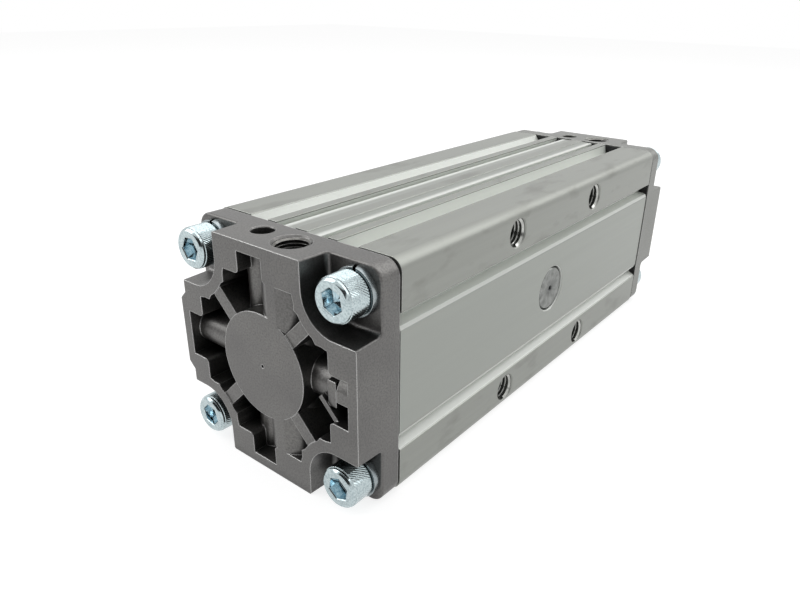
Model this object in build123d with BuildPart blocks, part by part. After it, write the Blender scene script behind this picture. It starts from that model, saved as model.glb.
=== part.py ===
from build123d import *
from math import atan, cos, pi, radians, sin, sqrt, tan
import os

# Double-acting rack-and-pinion rotary actuator, 180 degrees, millimetres.
# The origin is where the shaft axis meets the shaft-side mounting face.
# X runs from that face to the rear face, Y along the body, Z up to the ports.

os.makedirs("parts", exist_ok=True)

# Body
body_side = 92.0  # square section, across the flats
body_length = 220.0
body_corner = 5.0
cylinder_wall = 6.0  # at the thinnest, in the middle of each side
end_bore_chamfer = 0.8
overcut = 2.0  # how far a cutting profile passes the surface that it opens

# Long grooves of the section, and the panels and ribs between them
edge_panel_width = 18.5  # from the body's corner to the groove
groove_depth = 5.3
groove_outer_slope = 3.5
groove_floor_width = 1.4
groove_inner_slope = 0.6
panel_recess = 0.3
panel_slope_width = 2.0
panel_slope_depth = 1.0
valley_inner = 17.6  # the top face has two narrow ribs and a middle one
valley_floor_inner = 18.4
switch_slot_outer = 13.2
switch_slot_inner = 9.4
switch_slot_depth = 5.0
switch_slot_undercut = 0.9
switch_lip = 1.6
ledge_drop = 0.6
middle_rib_half = 2.9

# Covers
flange_thickness = 8.8
flange_corner = 6.0
flange_edge_round = 0.8
block_depth = 12.2
pocket_arc = 14.0  # about each bolt, and from its axis to the lobes' flats
pocket_draft = 2.5  # degrees
pocket_floor_round = 1.8
casting_wall = 4.2
lobe_wall = 3.7  # beside the flats of the bolt pockets
arc_wall = 4.5
cavity_depth = 14.0
barrel_radius = 21.0
rib_width = 5.4
rib_recess = 0.5
land_start = 9.3
land_depth = 12.7  # from the cover's sides inwards
land_corner = 1.6
port_land_start = 3.3  # the land beside the port boss reaches further in
centre_pit_radius = 0.7
centre_pit_depth = 0.8
pad_half = 13.9
pad_height = 3.0
gasket_thickness = 1.0
gasket_inset = 0.8

# Ports
port_radius = 6.58  # G1/4 thread, wall at its major diameter
port_depth = 14.0
port_chamfer = 0.8
port_offset = 7.2
port_setback = 10.8  # from the cover's front
port_boss_radius = 11.0
port_drill_radius = 4.2
port_drill_depth = 21.0
air_channel_radius = 4.0
air_channel_depth = 17.5
plug_hole_radius = 4.3
plug_hole_chamfer = 0.4
plug_hole_depth = 18.0
plug_hole_offset = -9.6
plug_hole_setback = 12.6
plug_boss_radius = 6.4
side_boss_radius = 7.5
side_boss_setback = 11.2
collar_radius = 12.0
collar_length = 5.0
web_thickness = 1.8
web_length = 12.0
web_inset = 14.8  # from the cover's rear side to the web's middle
web_drop = 6.6
web_setback = 2.0
mark_plate_width = 3.8
mark_plate_height = 9.8
mark_plate_setback = 2.8
mark_plate_inset = 14.1

# Mounting holes, M12 in both wide faces: the rear ones have the wall at the thread's
# major diameter, the shaft side's at the diameter drilled for the tap
mount_edge = 10.0  # from the body's sides to the holes' axes
mount_hole_radius = 6.0
tap_drill_radius = 5.1
mount_hole_depth = 13.0
mount_hole_chamfer = 0.5

# Cover bolts, M10 socket cap screws on spring washers
bolt_edge = 10.0  # from the cover's sides to the bolts' axes
bolt_radius = 5.0
bolt_shank_length = 30.0
bolt_head_radius = 8.0
bolt_head_height = 10.0
bolt_head_chamfer = 0.8
bolt_socket_flats = 8.0
bolt_socket_depth = 5.0
bolt_hole_clearance = 0.5
bolt_hole_depth = 22.0
washer_thickness = 2.5
washer_outer_radius = 8.6
washer_inner_radius = 5.3
washer_slit = 1.2
washer_slit_angle = 25.0

# Rack and pinion
gear_module = 2.0
pinion_teeth = 15
pressure_angle = 20.0
gear_addendum = 1.0  # times the module
rack_addendum = 0.85  # times the module, clear of the pinion's undercut
gear_dedendum = 1.25
tooth_embed = 1.0  # how far a tooth's drawing reaches into the pinion's root
mesh_backlash = 0.16
pinion_width = 24.0
flank_points = 5
turn_each_way = 90.0  # degrees, from mid-stroke
rack_width = 22.0
rack_height = 16.0
rack_teeth = 13
rack_side_clearance = 5.0
rack_roof = 20.0  # top of the web's passage, above the axis
passage_corner = 3.0

# Pistons
piston_length = 24.0
piston_clearance = 0.4
piston_chamfer = 1.0
seal_clearance = 0.05
stroke_reserve = 0.8
wear_ring_start = 3.5  # ring places are measured from the outer face
wear_ring_width = 6.0
wear_ring_depth = 2.0
seal_start = 11.0
seal_width = 5.0
seal_depth = 5.0
magnet_start = 17.5
magnet_width = 4.0
magnet_depth = 4.0
magnet_sink = 0.5
ring_side_gap = 0.1
piston_bolt_radius = 3.0
piston_bolt_spacing = 12.0
piston_bolt_head_radius = 5.0
piston_bolt_head_height = 6.0
piston_bolt_engagement = 14.0
piston_bolt_socket_flats = 5.0
piston_bolt_socket_depth = 3.0
piston_bolt_clearance = 0.3

# Rack slider
slider_width = 20.0
slider_length = 60.0
slider_thickness = 4.0
slider_sink = 2.0
running_clearance = 0.05

# Bearings, 20 x 42 x 12
bearing_bore_radius = 10.0
bearing_outer_radius = 21.0
bearing_width = 12.0
ball_radius = 3.175
ball_circle_radius = 15.5
ball_count = 9
race_clearance = 0.075
inner_land_radius = 13.6
outer_land_radius = 17.6
ring_chamfer = 0.6

# Shaft, retainer and seal
shaft_reach = 50.0  # beyond the mounting face
shoulder_radius = 12.5
shoulder_length = 6.0
shaft_end_chamfer = 1.0
relief_width = 2.0  # between the output end and the seal's track
relief_depth = 0.3
rear_end_recess = 0.8
rear_hole_clearance = 0.6
rear_hole_chamfer = 0.6
rear_dimple_radius = 1.5
rear_dimple_depth = 1.2
shaft_tap_radius = 3.0
shaft_tap_depth = 14.0
keyway_width = 6.0
keyway_length = 36.0
keyway_depth = 3.5
keyway_margin = 4.0  # from the shaft's end
pilot_radius = 17.5
pilot_height = 3.0
pilot_chamfer = 0.5
retainer_radius = 30.0
retainer_thickness = 6.0
retainer_clearance = 0.1
retainer_bore_clearance = 0.6
seal_outer_radius = 16.0
shaft_seal_width = 7.0
seal_lip_depth = 1.5
screw_circle_radius = 25.0
screw_radius = 2.5
screw_head_radius = 4.6
screw_length = 14.0
screw_count = 4

# Places that follow from the sizes
centre_x = body_side / 2
half_side = body_side / 2
half_body = body_length / 2
cylinder_bore = body_side - 2 * cylinder_wall
mount_pitch = body_side - 2 * mount_edge
bolt_pitch = body_side - 2 * bolt_edge
pocket_centre = bolt_pitch / 2
lobe_half = pocket_centre - pocket_arc
groove_edge = half_side - edge_panel_width
groove_floor_outer = groove_edge - groove_outer_slope
groove_floor_inner = groove_floor_outer - groove_floor_width
panel_slope_end = groove_floor_inner - groove_inner_slope
panel_half = panel_slope_end - panel_slope_width
land_inner = half_side - land_depth
cover_back = half_body + gasket_thickness
cover_depth = flange_thickness + block_depth
flange_front = cover_back + flange_thickness
cover_front = cover_back + cover_depth
pitch_radius = gear_module * pinion_teeth / 2
tip_radius = pitch_radius + gear_addendum * gear_module
root_radius = pitch_radius - gear_dedendum * gear_module
half_stroke = pitch_radius * radians(turn_each_way)
piston_outer = half_body - half_stroke - stroke_reserve
piston_inner = piston_outer - piston_length
bore_web = piston_inner - half_stroke - stroke_reserve  # half of the middle web
piston_radius = cylinder_bore / 2 - piston_clearance
rack_pitch = pi * gear_module
rack_top = -pitch_radius + rack_addendum * gear_module
rack_bottom = rack_top - rack_height
passage_half = rack_width / 2 + rack_side_clearance
slider_top = rack_bottom - running_clearance
passage_floor = slider_top - slider_thickness + slider_sink
pinion_start = centre_x - pinion_width / 2
pinion_end = centre_x + pinion_width / 2
front_bearing_back = pinion_start - shoulder_length
front_bearing_front = front_bearing_back - bearing_width
rear_bearing_front = pinion_end + shoulder_length
rear_bearing_back = rear_bearing_front + bearing_width
rear_end = body_side - rear_end_recess
bolt_seat = flange_front + washer_thickness
rod_z = rack_bottom + rack_height / 2

cylinder_axis = Axis((centre_x, 0, 0), (0, 1, 0))
shaft_axis = Axis.X


def section_plane(y):
    """Plane across the body at y, seen from the near end: x along X, y along Z."""
    return Plane(origin=(centre_x, y, 0), x_dir=(1, 0, 0), z_dir=(0, -1, 0))


def across_plane(x):
    """Plane across the shaft at x: x along Y, y along Z, facing +X."""
    return Plane(origin=(x, 0, 0), x_dir=(0, 1, 0), z_dir=(1, 0, 0))


def top_plane(z):
    """Horizontal plane at height z over the middle of the body."""
    return Plane(origin=(centre_x, 0, z))


def finish_piece(piece, name):
    """Label a finished piece and write its STEP file."""
    piece.label = name
    export_step(piece, f"parts/{name}.step")


# Grooves of the section, drawn for the top face and turned to the others

with BuildSketch() as side_grooves:
    with BuildLine():
        Polyline(
            (0, half_side + overcut),
            (0, half_side - panel_recess),
            (panel_half, half_side - panel_recess),
            (panel_slope_end, half_side - panel_slope_depth),
            (groove_floor_inner, half_side - groove_depth),
            (groove_floor_outer, half_side - groove_depth),
            (groove_edge, half_side),
            (groove_edge, half_side + overcut),
            close=True,
        )
    make_face()
    mirror(about=Plane.YZ)

with BuildSketch() as top_grooves:
    with BuildLine():
        Polyline(
            (valley_inner, half_side + overcut),
            (valley_inner, half_side - panel_recess),
            (valley_floor_inner, half_side - groove_depth),
            (groove_floor_outer, half_side - groove_depth),
            (groove_edge, half_side),
            (groove_edge, half_side + overcut),
            close=True,
        )
    make_face()
    with BuildLine():
        Polyline(
            (middle_rib_half, half_side + overcut),
            (middle_rib_half, half_side - panel_recess),
            (switch_slot_inner, half_side - ledge_drop),
            (switch_slot_inner, half_side - switch_lip),
            (switch_slot_inner - switch_slot_undercut, half_side - switch_lip),
            (switch_slot_inner - switch_slot_undercut, half_side - switch_slot_depth),
            (switch_slot_outer + switch_slot_undercut, half_side - switch_slot_depth),
            (switch_slot_outer + switch_slot_undercut, half_side - switch_lip),
            (switch_slot_outer, half_side - switch_lip),
            (switch_slot_outer, half_side + overcut),
            close=True,
        )
    make_face()
    mirror(about=Plane.YZ)

# Body: an extruded tube with a middle web, bored for both pistons

with BuildPart() as body:
    with BuildSketch(section_plane(half_body)) as section:
        Rectangle(body_side, body_side)
        fillet(section.vertices(), body_corner)
        add(top_grooves.sketch, mode=Mode.SUBTRACT)
        for turn in (90, 180, 270):
            add(side_grooves.sketch, rotation=turn, mode=Mode.SUBTRACT)
    extrude(amount=body_length)
    for end in (-1, 1):
        bore_start = Plane(origin=(centre_x, end * half_body, 0), z_dir=(0, -end, 0))
        with BuildSketch(bore_start):
            Circle(cylinder_bore / 2)
        extrude(amount=half_body - bore_web, mode=Mode.SUBTRACT)
        with BuildSketch(bore_start):
            Circle(cylinder_bore / 2 + end_bore_chamfer)
        extrude(amount=end_bore_chamfer, taper=45, mode=Mode.SUBTRACT)
        with BuildSketch(bore_start):
            with GridLocations(bolt_pitch, bolt_pitch, 2, 2):
                Circle(bolt_radius)
        extrude(amount=bolt_hole_depth, mode=Mode.SUBTRACT)
    # Passage for the rack, with the slider's pocket in its floor
    with BuildSketch(section_plane(bore_web)):
        with Locations((0, (rack_roof + passage_floor) / 2)):
            RectangleRounded(2 * passage_half, rack_roof - passage_floor, passage_corner)
    extrude(amount=2 * bore_web, mode=Mode.SUBTRACT)
    with BuildSketch(top_plane(passage_floor)):
        Rectangle(slider_width, slider_length)
    extrude(amount=-slider_sink, mode=Mode.SUBTRACT)
    # Bearing seats, the retainer's counterbore and the rear hole
    with BuildSketch(across_plane(0)):
        Circle(bearing_outer_radius)
    extrude(amount=rear_bearing_back, mode=Mode.SUBTRACT)
    with BuildSketch(across_plane(0)):
        Circle(retainer_radius + retainer_clearance)
    extrude(amount=retainer_thickness, mode=Mode.SUBTRACT)
    with BuildSketch(across_plane(retainer_thickness)):
        with PolarLocations(screw_circle_radius, screw_count, 45):
            Circle(screw_radius)
    extrude(amount=screw_length, mode=Mode.SUBTRACT)
    with BuildSketch(across_plane(rear_bearing_back)):
        Circle(bearing_bore_radius + rear_hole_clearance)
    extrude(amount=body_side - rear_bearing_back, mode=Mode.SUBTRACT)
    with BuildSketch(across_plane(body_side - panel_recess)):
        Circle(bearing_bore_radius + rear_hole_clearance + rear_hole_chamfer)
    extrude(amount=-rear_hole_chamfer, taper=45, mode=Mode.SUBTRACT)
    # Mounting holes in both wide faces
    for face_x, inward, hole_radius in (
        (0, 1, tap_drill_radius),
        (body_side, -1, mount_hole_radius),
    ):
        mount_face = Plane(origin=(face_x, 0, 0), x_dir=(0, 1, 0), z_dir=(inward, 0, 0))
        with BuildSketch(mount_face):
            with GridLocations(mount_pitch, mount_pitch, 2, 2):
                Circle(hole_radius)
        extrude(amount=mount_hole_depth, mode=Mode.SUBTRACT)
        with BuildSketch(mount_face):
            with GridLocations(mount_pitch, mount_pitch, 2, 2):
                Circle(hole_radius + mount_hole_chamfer)
        extrude(amount=mount_hole_chamfer, taper=45, mode=Mode.SUBTRACT)
finish_piece(body.part, "body")

# Hollow of the die-cast cover: four lobes about a round barrel, with 45 degree
# ribs between them, and the bosses of the ports standing in it

front_plane = section_plane(-cover_front)
lobe_reach = half_side - casting_wall
lobe_inner_half = lobe_half - lobe_wall

with BuildPart() as hollow:
    with BuildSketch(front_plane):
        Rectangle(2 * lobe_reach, 2 * lobe_inner_half)
        Rectangle(2 * lobe_inner_half, 2 * lobe_reach)
        Circle(land_inner)
        with GridLocations(2 * pocket_centre, 2 * pocket_centre, 2, 2):
            Circle(pocket_arc + arc_wall, mode=Mode.SUBTRACT)
        land_span = lobe_half - land_start
        for turn in range(4):
            with Locations(Location((0, 0, 0), (0, 0, 90 * turn))):
                with Locations(
                    (land_start + land_span / 2, land_inner + land_depth / 2),
                    (-land_start - land_span / 2, land_inner + land_depth / 2),
                ):
                    RectangleRounded(land_span, land_depth, land_corner, mode=Mode.SUBTRACT)
        # The lands beside the port bosses
        port_land_span = lobe_half - port_land_start
        with GridLocations(1, 2 * land_inner + land_depth, 1, 2):
            with Locations((port_land_start + port_land_span / 2, 0)):
                RectangleRounded(port_land_span, land_depth, land_corner, mode=Mode.SUBTRACT)
        Circle(barrel_radius, mode=Mode.SUBTRACT)
    extrude(amount=-cavity_depth)
    # The 45 degree ribs, a little below the front
    with BuildSketch(section_plane(-cover_front + rib_recess)):
        for turn in (45, 135):
            Rectangle(body_side, rib_width, rotation=turn)
    extrude(amount=-cavity_depth, mode=Mode.SUBTRACT)
    # Upright bosses of the port and of the plug hole, above and below the barrel
    with BuildSketch(Plane(origin=(centre_x, -cover_front, -land_inner))):
        with Locations((port_offset, port_setback)):
            Circle(port_boss_radius)
    extrude(amount=land_inner + half_side, mode=Mode.SUBTRACT)
    with BuildSketch(Plane(origin=(centre_x, -cover_front, -half_side))):
        with Locations((plug_hole_offset, plug_hole_setback)):
            Circle(plug_boss_radius)
    extrude(amount=body_side, mode=Mode.SUBTRACT)
    # Level bosses on both sides of the barrel, with a collar on the rear one
    with BuildSketch(across_plane(0)):
        with Locations((-cover_front + side_boss_setback, 0)):
            Circle(side_boss_radius)
    extrude(amount=body_side, mode=Mode.SUBTRACT)
    with BuildSketch(across_plane(centre_x + lobe_reach - collar_length)):
        with Locations((-cover_front + side_boss_setback, 0)):
            Circle(collar_radius)
        with Locations((-cover_front + side_boss_setback, -collar_radius)):
            Rectangle(2 * collar_radius, 2 * collar_radius, mode=Mode.SUBTRACT)
    extrude(amount=collar_length, mode=Mode.SUBTRACT)
    # A thin web from the rear boss to the corner of the lower land
    with BuildSketch(section_plane(-cover_front + web_setback)):
        with Locations((half_side - web_inset, -web_drop)):
            Rectangle(web_length, web_thickness, rotation=-45)
    extrude(amount=-cavity_depth, mode=Mode.SUBTRACT)
    # The bare plate on the rear boss where a caster puts mould numbers
    with BuildSketch(section_plane(-cover_front + mark_plate_setback)):
        with Locations((half_side - mark_plate_inset, 0)):
            Rectangle(mark_plate_width, mark_plate_height)
    extrude(amount=-side_boss_radius, mode=Mode.SUBTRACT)

# Near cover: flange, block with a pocket at each bolt, hollow front, ports

inward_plane = Plane(origin=(centre_x, -cover_front, 0), x_dir=(-1, 0, 0), z_dir=(0, 1, 0))
pocket_span = half_side - lobe_half + pocket_floor_round + overcut
rim_reach = half_side + lobe_half + pocket_floor_round

with BuildPart() as pockets:
    with BuildSketch(inward_plane) as pocket_outline:
        with GridLocations(2 * lobe_half + pocket_span, 2 * lobe_half + pocket_span, 2, 2):
            Rectangle(pocket_span, pocket_span)
        fillet(pocket_outline.vertices().sort_by_distance((0, 0, 0))[:4], pocket_arc)
    extrude(amount=block_depth, taper=pocket_draft)
    fillet(pockets.edges().group_by(Axis.Y)[-1], pocket_floor_round)


def on_flange_rim(edge):
    """Whether an edge lies on the outline of the flange's front, beside the block."""
    middle = edge.center()
    beside_block = abs(middle.X - centre_x) + abs(middle.Z) > rim_reach
    return beside_block and round(middle.Y + flange_front, 2) == 0


with BuildPart() as near_cover:
    with BuildSketch(front_plane):
        RectangleRounded(body_side, body_side, flange_corner)
    extrude(amount=-cover_depth)
    add(pockets.part, mode=Mode.SUBTRACT)
    fillet(near_cover.edges().filter_by(on_flange_rim), flange_edge_round)
    add(hollow.part, mode=Mode.SUBTRACT)
    with BuildSketch(front_plane):
        Circle(centre_pit_radius)
    extrude(amount=-centre_pit_depth, mode=Mode.SUBTRACT)
    # Raised pad on the shaft side of the block
    with BuildSketch(front_plane):
        for side in (1, -1):
            with BuildLine():
                Polyline(
                    (-half_side - overcut, side * (pad_half - overcut)),
                    (-half_side + pad_height, side * (pad_half + pad_height)),
                    (-half_side + pad_height, side * (lobe_half + overcut)),
                    (-half_side - overcut, side * (lobe_half + overcut)),
                    close=True,
                )
            make_face()
    extrude(amount=-block_depth, mode=Mode.SUBTRACT)
    # Clearance holes for the cover bolts
    with BuildSketch(section_plane(-cover_back)):
        with GridLocations(bolt_pitch, bolt_pitch, 2, 2):
            Circle(bolt_radius + bolt_hole_clearance)
    extrude(amount=flange_thickness, mode=Mode.SUBTRACT)
    # Port, with its drilling and the channel to the cylinder
    port_face = Plane(origin=(centre_x + port_offset, -cover_front + port_setback, half_side))
    with BuildSketch(port_face):
        Circle(port_radius)
    extrude(amount=-port_depth, mode=Mode.SUBTRACT)
    with BuildSketch(port_face):
        Circle(port_radius + port_chamfer)
    extrude(amount=-port_chamfer, taper=45, mode=Mode.SUBTRACT)
    with BuildSketch(port_face):
        Circle(port_drill_radius)
    extrude(amount=-port_drill_depth, mode=Mode.SUBTRACT)
    with BuildSketch(section_plane(-cover_back)):
        with Locations((port_offset, half_side - air_channel_depth)):
            Circle(air_channel_radius)
    extrude(amount=cover_front - cover_back - port_setback, mode=Mode.SUBTRACT)
    # Second hole beside the port
    plug_face = Plane(origin=(centre_x + plug_hole_offset, -cover_front + plug_hole_setback, half_side))
    with BuildSketch(plug_face):
        Circle(plug_hole_radius)
    extrude(amount=-plug_hole_depth, mode=Mode.SUBTRACT)
    with BuildSketch(plug_face):
        Circle(plug_hole_radius + plug_hole_chamfer)
    extrude(amount=-plug_hole_chamfer, taper=45, mode=Mode.SUBTRACT)
finish_piece(near_cover.part, "near_cover")

with BuildPart() as far_cover:
    mirror(near_cover.part, about=Plane.XZ)
finish_piece(far_cover.part, "far_cover")

# Cover gaskets

with BuildPart() as near_gasket:
    with BuildSketch(section_plane(-half_body)):
        gasket_side = body_side - 2 * gasket_inset
        RectangleRounded(gasket_side, gasket_side, flange_corner - gasket_inset)
        Circle(cylinder_bore / 2 + end_bore_chamfer, mode=Mode.SUBTRACT)
        with GridLocations(bolt_pitch, bolt_pitch, 2, 2):
            Circle(bolt_radius + bolt_hole_clearance, mode=Mode.SUBTRACT)
    extrude(amount=gasket_thickness)
finish_piece(near_gasket.part, "near_cover_gasket")

with BuildPart() as far_gasket:
    mirror(near_gasket.part, about=Plane.XZ)
finish_piece(far_gasket.part, "far_cover_gasket")

# Cover bolts and their spring washers

with BuildPart() as near_bolts:
    with BuildSketch(section_plane(-bolt_seat)):
        with GridLocations(bolt_pitch, bolt_pitch, 2, 2):
            Circle(bolt_head_radius)
    extrude(amount=bolt_head_height)
    chamfer(near_bolts.edges().group_by(Axis.Y)[0], bolt_head_chamfer)
    with BuildSketch(section_plane(-bolt_seat)):
        with GridLocations(bolt_pitch, bolt_pitch, 2, 2):
            Circle(bolt_radius)
    extrude(amount=-bolt_shank_length)
    with BuildSketch(section_plane(-bolt_seat - bolt_head_height)):
        with GridLocations(bolt_pitch, bolt_pitch, 2, 2):
            RegularPolygon(bolt_socket_flats / 2, 6, major_radius=False)
    extrude(amount=-bolt_socket_depth, mode=Mode.SUBTRACT)
finish_piece(near_bolts.part, "near_cover_bolts")

with BuildPart() as far_bolts:
    mirror(near_bolts.part, about=Plane.XZ)
finish_piece(far_bolts.part, "far_cover_bolts")

with BuildPart() as near_washers:
    with BuildSketch(section_plane(-flange_front)):
        with GridLocations(bolt_pitch, bolt_pitch, 2, 2):
            Circle(washer_outer_radius)
            Circle(washer_inner_radius, mode=Mode.SUBTRACT)
    extrude(amount=washer_thickness)
    slit_plane = section_plane(-flange_front - washer_thickness / 2)
    for corner in GridLocations(bolt_pitch, bolt_pitch, 2, 2):
        slit = corner * Location((0, (washer_outer_radius + washer_inner_radius) / 2, 0))
        with Locations(slit_plane * slit * Location((0, 0, 0), (0, washer_slit_angle, 0))):
            Box(washer_slit, 2 * washer_outer_radius - 2 * washer_inner_radius,
                3 * washer_thickness, mode=Mode.SUBTRACT)
finish_piece(near_washers.part, "near_spring_washers")

with BuildPart() as far_washers:
    mirror(near_washers.part, about=Plane.XZ)
finish_piece(far_washers.part, "far_spring_washers")


# Rack and pinion


def involute_flank(base_radius, start_radius, end_radius, half_angle_at_base):
    """Points of one involute flank about a tooth centred on the local x axis."""
    points = []
    for step in range(flank_points):
        radius = start_radius + (end_radius - start_radius) * step / (flank_points - 1)
        roll = sqrt((radius / base_radius) ** 2 - 1)
        angle = half_angle_at_base - (roll - atan(roll))
        points.append((radius * cos(angle), radius * sin(angle)))
    return points


base_radius = pitch_radius * cos(radians(pressure_angle))
tooth_thickness = pi * gear_module / 2 - mesh_backlash / 2
base_half_angle = (
    tooth_thickness / (2 * pitch_radius) + tan(radians(pressure_angle)) - radians(pressure_angle)
)
flank = involute_flank(base_radius, base_radius, tip_radius, base_half_angle)
mirrored_flank = [(x, -y) for x, y in flank]
tooth_foot = root_radius - tooth_embed
foot_half_width = tooth_foot * sin(base_half_angle)
foot_x = tooth_foot * cos(base_half_angle)

with BuildSketch() as tooth:
    with BuildLine():
        Spline(*flank)
        Line(flank[-1], mirrored_flank[-1])
        Spline(*mirrored_flank)
        Line(mirrored_flank[0], (foot_x, -foot_half_width))
        Line((foot_x, -foot_half_width), (foot_x, foot_half_width))
        Line((foot_x, foot_half_width), flank[0])
    make_face()

with BuildPart() as pinion_shaft:
    with BuildSketch(Plane.XZ):
        with BuildLine():
            Polyline(
                (-shaft_reach, 0),
                (-shaft_reach, bearing_bore_radius),
                (-pilot_height, bearing_bore_radius),
                (-pilot_height, bearing_bore_radius - relief_depth),
                (-pilot_height + relief_width, bearing_bore_radius - relief_depth),
                (-pilot_height + relief_width, bearing_bore_radius),
                (front_bearing_back, bearing_bore_radius),
                (front_bearing_back, shoulder_radius),
                (rear_bearing_front, shoulder_radius),
                (rear_bearing_front, bearing_bore_radius),
                (rear_end, bearing_bore_radius),
                (rear_end, 0),
                close=True,
            )
        make_face()
    revolve(axis=shaft_axis)
    chamfer(pinion_shaft.edges().group_by(Axis.X)[0], shaft_end_chamfer)
    chamfer(pinion_shaft.edges().group_by(Axis.X)[-1], shaft_end_chamfer / 2)
    # A space between two teeth faces the rack
    with BuildSketch(across_plane(pinion_start)):
        Circle(root_radius)
        with PolarLocations(0, pinion_teeth, -90 + 180 / pinion_teeth):
            add(tooth.sketch)
    extrude(amount=pinion_width)
    # Keyway, the tapped hole of the output end and the centre of the rear end
    keyway_middle = -shaft_reach + keyway_margin + keyway_length / 2
    with BuildSketch(Plane(origin=(keyway_middle, 0, bearing_bore_radius - keyway_depth))):
        SlotOverall(keyway_length, keyway_width)
    extrude(amount=keyway_depth + overcut, mode=Mode.SUBTRACT)
    with BuildSketch(across_plane(-shaft_reach)):
        Circle(shaft_tap_radius)
    extrude(amount=shaft_tap_depth, mode=Mode.SUBTRACT)
    dimple_plane = Plane(origin=(rear_end, 0, 0), z_dir=(-1, 0, 0))
    with BuildSketch(dimple_plane):
        Circle(rear_dimple_radius)
    extrude(amount=rear_dimple_depth, taper=45, mode=Mode.SUBTRACT)
finish_piece(pinion_shaft.part, "pinion_shaft")

space_at_pitch = (rack_pitch - tooth_thickness) / 2
space_slope = tan(radians(pressure_angle))
space_top = space_at_pitch + rack_addendum * gear_module * space_slope
space_bottom = space_at_pitch - gear_dedendum * gear_module * space_slope
rack_root = -pitch_radius - gear_dedendum * gear_module

with BuildPart() as rack:
    with BuildSketch(across_plane(centre_x - rack_width / 2)):
        with Locations((0, rod_z)):
            Rectangle(2 * piston_inner, rack_height)
        with BuildSketch(mode=Mode.PRIVATE) as space:
            with BuildLine():
                Polyline(
                    (-space_bottom, rack_root),
                    (-space_top, rack_top),
                    (space_top, rack_top),
                    (space_bottom, rack_root),
                    close=True,
                )
            make_face()
        with GridLocations(rack_pitch, 1, rack_teeth + 1, 1):
            add(space.sketch, mode=Mode.SUBTRACT)
    extrude(amount=rack_width)
    for end in (-1, 1):
        with BuildSketch(section_plane(end * piston_inner)):
            with Locations((0, rod_z)):
                with GridLocations(piston_bolt_spacing, 1, 2, 1):
                    Circle(piston_bolt_radius)
        extrude(amount=end * piston_bolt_engagement, mode=Mode.SUBTRACT)
finish_piece(rack.part, "rack")

with BuildPart() as slider:
    with BuildSketch(top_plane(slider_top)):
        Rectangle(slider_width, slider_length)
    extrude(amount=-slider_thickness)
finish_piece(slider.part, "rack_slider")


# Pistons with their rings, screwed to the ends of the rack


def ring_section(start, width, inner_radius, outer_radius):
    """Draw a ring's section at a distance behind the near piston's outer face."""
    with Locations((-piston_outer + start + width / 2, (inner_radius + outer_radius) / 2)):
        Rectangle(width, outer_radius - inner_radius)


# Local x runs along Y and local y outwards from the cylinder's axis
half_section_plane = Plane(origin=(centre_x, 0, 0), x_dir=(0, 1, 0), z_dir=(1, 0, 0))
ring_outer_radius = cylinder_bore / 2 - seal_clearance

with BuildPart() as near_piston:
    with BuildSketch(half_section_plane):
        ring_section(0, piston_length, 0, piston_radius)
        for start, width, depth in (
            (wear_ring_start, wear_ring_width, wear_ring_depth),
            (seal_start, seal_width, seal_depth),
            (magnet_start, magnet_width, magnet_depth),
        ):
            with Locations((-piston_outer + start + width / 2, piston_radius - depth / 2)):
                Rectangle(width + 2 * ring_side_gap, depth, mode=Mode.SUBTRACT)
    revolve(axis=cylinder_axis)
    rims = near_piston.edges().filter_by(GeomType.CIRCLE).group_by(Axis.Y)
    chamfer(rims[0] + rims[-1], piston_chamfer)
    with BuildSketch(section_plane(-piston_outer)):
        with Locations((0, rod_z)):
            with GridLocations(piston_bolt_spacing, 1, 2, 1):
                Circle(piston_bolt_radius + piston_bolt_clearance)
    extrude(amount=-piston_length, mode=Mode.SUBTRACT)
    with BuildSketch(section_plane(-piston_outer)):
        with Locations((0, rod_z)):
            with GridLocations(piston_bolt_spacing, 1, 2, 1):
                Circle(piston_bolt_head_radius + piston_bolt_clearance)
    extrude(amount=-piston_bolt_head_height - piston_bolt_clearance, mode=Mode.SUBTRACT)
finish_piece(near_piston.part, "near_piston")

with BuildPart() as near_wear_ring:
    with BuildSketch(half_section_plane):
        ring_section(
            wear_ring_start, wear_ring_width, piston_radius - wear_ring_depth, ring_outer_radius
        )
    revolve(axis=cylinder_axis)
finish_piece(near_wear_ring.part, "near_wear_ring")

with BuildPart() as near_piston_seal:
    with BuildSketch(half_section_plane):
        ring_section(seal_start, seal_width, piston_radius - seal_depth, ring_outer_radius)
    revolve(axis=cylinder_axis)
finish_piece(near_piston_seal.part, "near_piston_seal")

with BuildPart() as near_magnet:
    with BuildSketch(half_section_plane):
        ring_section(
            magnet_start, magnet_width, piston_radius - magnet_depth, piston_radius - magnet_sink
        )
    revolve(axis=cylinder_axis)
finish_piece(near_magnet.part, "near_magnet")

with BuildPart() as near_piston_bolts:
    head_bottom = -piston_outer + piston_bolt_head_height + piston_bolt_clearance
    shank_end = -piston_inner + piston_bolt_engagement - piston_bolt_clearance
    with BuildSketch(section_plane(head_bottom)):
        with Locations((0, rod_z)):
            with GridLocations(piston_bolt_spacing, 1, 2, 1):
                Circle(piston_bolt_head_radius)
    extrude(amount=piston_bolt_head_height)
    with BuildSketch(section_plane(head_bottom)):
        with Locations((0, rod_z)):
            with GridLocations(piston_bolt_spacing, 1, 2, 1):
                Circle(piston_bolt_radius)
    extrude(amount=head_bottom - shank_end)
    with BuildSketch(section_plane(head_bottom - piston_bolt_head_height)):
        with Locations((0, rod_z)):
            with GridLocations(piston_bolt_spacing, 1, 2, 1):
                RegularPolygon(piston_bolt_socket_flats / 2, 6, major_radius=False)
    extrude(amount=-piston_bolt_socket_depth, mode=Mode.SUBTRACT)
finish_piece(near_piston_bolts.part, "near_piston_bolts")

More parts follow.
